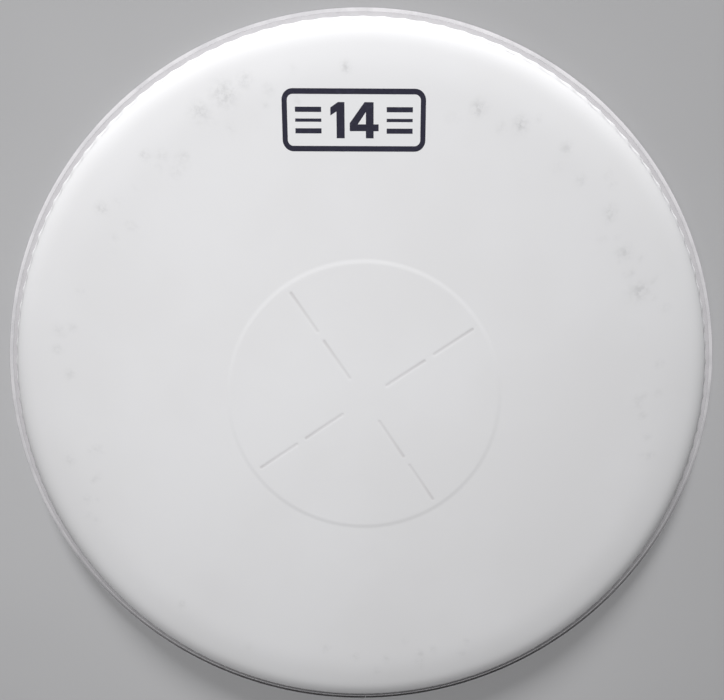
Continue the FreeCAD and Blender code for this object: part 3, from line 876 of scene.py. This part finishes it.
def make_coating():
    """The coating as one thin shell: meshed face, turned shoulder and fluted skirt."""
    skirt = fall_points(COAT_THICKNESS)
    skirt += [collar_point(height, COAT_THICKNESS) for height in reversed(flute_heights())]
    skirt += [(HEM_RADIUS + COAT_THICKNESS, height, 0) for height in reversed(hem_heights()[1:])]
    finish = coating_finish()
    coating = turn("top_coating_sprayed", rounded(skirt, closed=False), finish, FLUTE_SEGMENTS,
                   flute_depth=FLUTE_DEPTH)

    lines = slot_lines()
    points, unused_edges, triangles = delaunay_2d_cdt(face_points(lines), [], [], 0, MERGE_DISTANCE)[:3]
    shape = bmesh.new()
    shape.from_mesh(coating.data)
    corners = [shape.verts.new((point.x, point.y, face_height(point, lines))) for point in points]
    for triangle in triangles:
        shape.faces.new([corners[index] for index in triangle])
    bmesh.ops.remove_doubles(shape, verts=shape.verts, dist=WELD_DISTANCE)
    bmesh.ops.recalc_face_normals(shape, faces=shape.faces)
    middle = min(shape.faces, key=lambda face: face.calc_center_median().xy.length)
    if middle.normal.z < 0:
        bmesh.ops.reverse_faces(shape, faces=shape.faces)
    shape.to_mesh(coating.data)
    shape.free()

    thicken = coating.modifiers.new("thickness", "SOLIDIFY")
    thicken.thickness = COAT_THICKNESS
    thicken.offset = -1
    make_plain(coating)
    finish_mesh(coating)
    marks = stick_marks()
    worn = coating.data.attributes.new("stick_marks", "FLOAT", "POINT")
    worn.data.foreach_set("value", [mark_strength(vertex.co.xy, marks) for vertex in coating.data.vertices])
    # Painted shade for the slots, carried at the points for the coating's finish
    shade_in_slots = coating.data.attributes.new("painted_slot_shade", "FLOAT", "POINT")
    shade_in_slots.data.foreach_set("value", [painted_slot_shade(vertex.co.xy, lines) for vertex in coating.data.vertices])
    mount_piece(coating, "coating", "top_coating")


# Printed mark

def rounded_frame(width, height, corner):
    """Outline of a rectangle with round corners, as Bezier corners joined by straight sides."""
    reach_x = width / 2 - corner
    reach_y = height / 2 - corner
    pull = corner * QUARTER_PULL_SHARE
    points = []
    for quarter in range(4):
        angle = math.pi / 2 * quarter
        middle = Vector((math.copysign(reach_x, math.cos(angle + math.pi / 4)),
                         math.copysign(reach_y, math.sin(angle + math.pi / 4))))
        first = Vector((math.cos(angle), math.sin(angle)))
        second = Vector((-math.sin(angle), math.cos(angle)))
        start = middle + first * corner
        end = middle + second * corner
        points += interpolate_bezier(start, start + second * pull, end + first * pull, end, 2 * ARC_STEPS)
    return points


def slab(shape, outline, holes=()):
    """A thin ink layer inside an outline, less its holes."""
    loops = []
    for loop in (outline, *holes):
        corners = [shape.verts.new((point[0], point[1], 0)) for point in loop]
        count = len(corners)
        loops += [shape.edges.new((corners[index], corners[(index + 1) % count])) for index in range(count)]
    bmesh.ops.triangle_fill(shape, use_beauty=True, use_dissolve=False, edges=loops, normal=(0, 0, 1))


def digit(shares, place_share):
    """Corners of a digit's outline, set beside the middle of the mark."""
    return [((x + place_share) * DIGIT_HEIGHT, (y - 0.5) * DIGIT_HEIGHT) for x, y in shares]


def make_mark():
    """The size mark: a frame, the number and plain rules beside it, as one thin ink layer."""
    shape = bmesh.new()
    slab(shape, rounded_frame(MARK_WIDTH, MARK_HEIGHT, MARK_CORNER),
         [rounded_frame(MARK_WIDTH - 2 * MARK_LINE, MARK_HEIGHT - 2 * MARK_LINE, MARK_CORNER - MARK_LINE)])
    for side in (-1, 1):
        for order, width in enumerate(MARK_RULE_WIDTHS):
            x = side * MARK_RULE_PLACE
            y = (order - 1) * MARK_RULE_STEP
            half_x = MARK_RULE_LENGTH / 2
            half_y = width / 2
            slab(shape, [(x - half_x, y - half_y), (x + half_x, y - half_y),
                         (x + half_x, y + half_y), (x - half_x, y + half_y)])
    slab(shape, digit(ONE_SHARES, ONE_PLACE_SHARE))
    slab(shape, digit(FOUR_SHARES, FOUR_PLACE_SHARE), [digit(FOUR_HOLE_SHARES, FOUR_PLACE_SHARE)])
    lifted = bmesh.ops.extrude_face_region(shape, geom=list(shape.faces))["geom"]
    for vertex in (item for item in lifted if isinstance(item, bmesh.types.BMVert)):
        vertex.co.z += INK_THICKNESS
    for vertex in shape.verts:
        vertex.co += Vector((MARK_PLACE.x, MARK_PLACE.y, COAT_HEIGHT))
    bmesh.ops.recalc_face_normals(shape, faces=shape.faces)
    mesh = bpy.data.meshes.new("size_mark")
    shape.to_mesh(mesh)
    shape.free()
    mesh.materials.append(ink_finish())
    mark = new_object("size_mark", mesh)
    mount_piece(mark, "coating")


# Pieces inside the head keep their solids

def dress_hidden_nodes():
    """Finishes for the dot, its bond and the hoop's joiner."""
    finishes = {
        "centre_dot": hidden_finish("polyester_patch", POLYESTER_LIGHT, POLYESTER_DARK, Roughness=0.35),
        "dot_adhesive": hidden_finish("clear_bond", ADHESIVE_LIGHT, ADHESIVE_DARK, Roughness=0.25),
        "hoop_joiner": hidden_finish("joiner_strip", ALUMINIUM, ALUMINIUM_DULL, Metallic=1.0, Roughness=0.35),
    }
    for node, finish in finishes.items():
        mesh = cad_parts[node].data
        mesh.materials.clear()
        mesh.materials.append(finish)


# Floor, light and camera
FLOOR_PALE = (0.52, 0.52, 0.53, 1)
FLOOR_PALE_DARKER = (0.50, 0.50, 0.51, 1)
FLOOR_RADIUS = 14 * RIM_RADIUS
FLOOR_HOLE_RADIUS = RIM_RADIUS - HOOP_WIDTH / 2
SKY_LIGHT = 0.2
SKY_SIDE_SHARE = 1.0

# Backdrop: pale along the horizon, where a direction's upward share is small; above it bright towards one
# bearing and dark on the near side, by the share of a direction that points to that bearing
HORIZON_SHARES = (0.28, 0.55)
HORIZON_NEAR = 0.34
HORIZON_FAR = 0.78
ROOM_BEARING = math.radians(98)
ROOM_DARK = 0.02
ROOM_MIDDLE_SHARES = (-0.67, -0.2)
ROOM_MIDDLE = 0.66
ROOM_BRIGHT_SHARES = (-0.2, 0.45)
ROOM_BRIGHT = 0.98

# Lamps: bearing and elevation in degrees, distance and size in rim radii, light on a surface that faces them,
# and what they light
SOFTBOXES = {
    "window_softbox": (93, 20, 6.9, 1.5, 0.95, "head"),
    "floor_softbox": (93, 20, 60, 13, 0.95, "floor"),
    "overhead_softbox": (160, 79, 2.6, 1.5, 0.39, "both"),
}


def make_floor():
    """A plain pale floor, open under the head so that its underside can be seen from below."""
    shape = bmesh.new()
    for radius in (FLOOR_HOLE_RADIUS, FLOOR_RADIUS):
        bmesh.ops.create_circle(shape, segments=PLAIN_SEGMENTS, radius=radius)
    bmesh.ops.bridge_loops(shape, edges=shape.edges)
    if next(iter(shape.faces)).normal.z < 0:
        bmesh.ops.reverse_faces(shape, faces=shape.faces)
    mesh = bpy.data.meshes.new("floor")
    shape.to_mesh(mesh)
    shape.free()
    material, tree, shader = new_material("pale_floor", Roughness=0.7, Specular_IOR_Level=0.2)
    cloud = ramp(tree, noise(tree, object_place(tree), *FLOOR_CLOUDS), *CLOUD_SPREAD)
    tree.links.new(blend_colours(tree, cloud, FLOOR_PALE, FLOOR_PALE_DARKER), shader.inputs["Base Color"])
    mesh.materials.append(material)
    floor = new_object("floor", mesh)
    return floor


def light_receivers(floor):
    """Collections that say whether a lamp lights the floor alone or all but the floor."""
    receivers = {}
    for name, state in (("floor", "INCLUDE"), ("head", "EXCLUDE")):
        group = bpy.data.collections.new("lit_" + name)
        group.objects.link(floor)
        group.collection_objects[0].light_linking.link_state = state
        receivers[name] = group
    return receivers


def make_lamps(floor):
    """Soft lamps: one low beyond the head's far edge, one like it for the floor, and one overhead."""
    receivers = light_receivers(floor)
    for name, (bearing, elevation, distance_share, size_share, level, lit) in SOFTBOXES.items():
        away = Vector((math.cos(math.radians(elevation)), 0, math.sin(math.radians(elevation))))
        away.rotate(Euler((0, 0, math.radians(bearing))))
        distance = distance_share * RIM_RADIUS
        lamp = bpy.data.lights.new(name, "AREA")
        lamp.shape = "DISK"
        lamp.size = size_share * RIM_RADIUS
        lamp.energy = level * (math.pi * distance) ** 2
        softbox = new_object(name, lamp)
        softbox.location = away * distance
        softbox.rotation_euler = (-away).to_track_quat("-Z", "Y").to_euler()
        softbox.visible_camera = False
        softbox.visible_glossy = False
        softbox.light_linking.receiver_collection = receivers.get(lit)


def make_sky():
    """Soft light from all round, and the backdrop that the camera and the shiny pieces see."""
    world = bpy.data.worlds.new("soft_sky")
    world.use_nodes = True
    tree = world.node_tree
    across, along, upward = separate(tree, tree.nodes.new("ShaderNodeTexCoord").outputs["Generated"])
    far_side = calc(tree, "MULTIPLY_ADD", across, math.cos(ROOM_BEARING),
                    calc(tree, "MULTIPLY", along, math.sin(ROOM_BEARING)))
    sky = calc(tree, "MULTIPLY_ADD", far_side, SKY_LIGHT * SKY_SIDE_SHARE, SKY_LIGHT)
    room = calc(tree, "ADD", ramp(tree, far_side, *ROOM_MIDDLE_SHARES, ROOM_DARK, ROOM_MIDDLE),
                ramp(tree, far_side, *ROOM_BRIGHT_SHARES, 0.0, ROOM_BRIGHT - ROOM_MIDDLE))
    horizon = ramp(tree, far_side, -1.0, 1.0, HORIZON_NEAR, HORIZON_FAR)
    low = ramp(tree, upward, *HORIZON_SHARES, 1.0, 0.0)
    backdrop = calc(tree, "MULTIPLY_ADD", low, calc(tree, "SUBTRACT", horizon, room), room)
    ray = tree.nodes.new("ShaderNodeLightPath").outputs
    seen = calc(tree, "MAXIMUM", ray["Is Glossy Ray"], ray["Is Transmission Ray"])
    seen = calc(tree, "MAXIMUM", seen, ray["Is Camera Ray"])
    strength = calc(tree, "MULTIPLY_ADD", seen, calc(tree, "SUBTRACT", backdrop, sky), sky)
    tree.links.new(strength, tree.nodes["Background"].inputs["Strength"])
    tree.nodes["Background"].inputs["Color"].default_value = SKY_WHITE
    bpy.context.scene.world = world


def make_camera():
    """The camera close above the head, a little past its middle."""
    lens = bpy.data.cameras.new("camera")
    lens.sensor_width = SENSOR_MM
    lens.lens = FOCAL_PIXELS / IMAGE_WIDTH * SENSOR_MM
    lens.shift_x = (IMAGE_WIDTH / 2 - OPTICAL_CENTRE_PIXELS[0]) / IMAGE_WIDTH
    lens.shift_y = (OPTICAL_CENTRE_PIXELS[1] - IMAGE_HEIGHT / 2) / IMAGE_WIDTH
    lens.clip_start = CLIP_START_SHARE * RIM_RADIUS
    camera = new_object("camera", lens)
    camera.location = Vector(CAMERA_PLACE_SHARES) * RIM_RADIUS + Vector((0, 0, HOOP_HEIGHT))
    camera.rotation_euler = [math.radians(angle) for angle in CAMERA_TURN]
    bpy.context.scene.camera = camera


make_hoop()
make_resin()
make_film()
make_coating()
make_mark()
dress_hidden_nodes()
make_lamps(make_floor())
make_sky()
make_camera()
bpy.context.scene.view_settings.view_transform = "Standard"
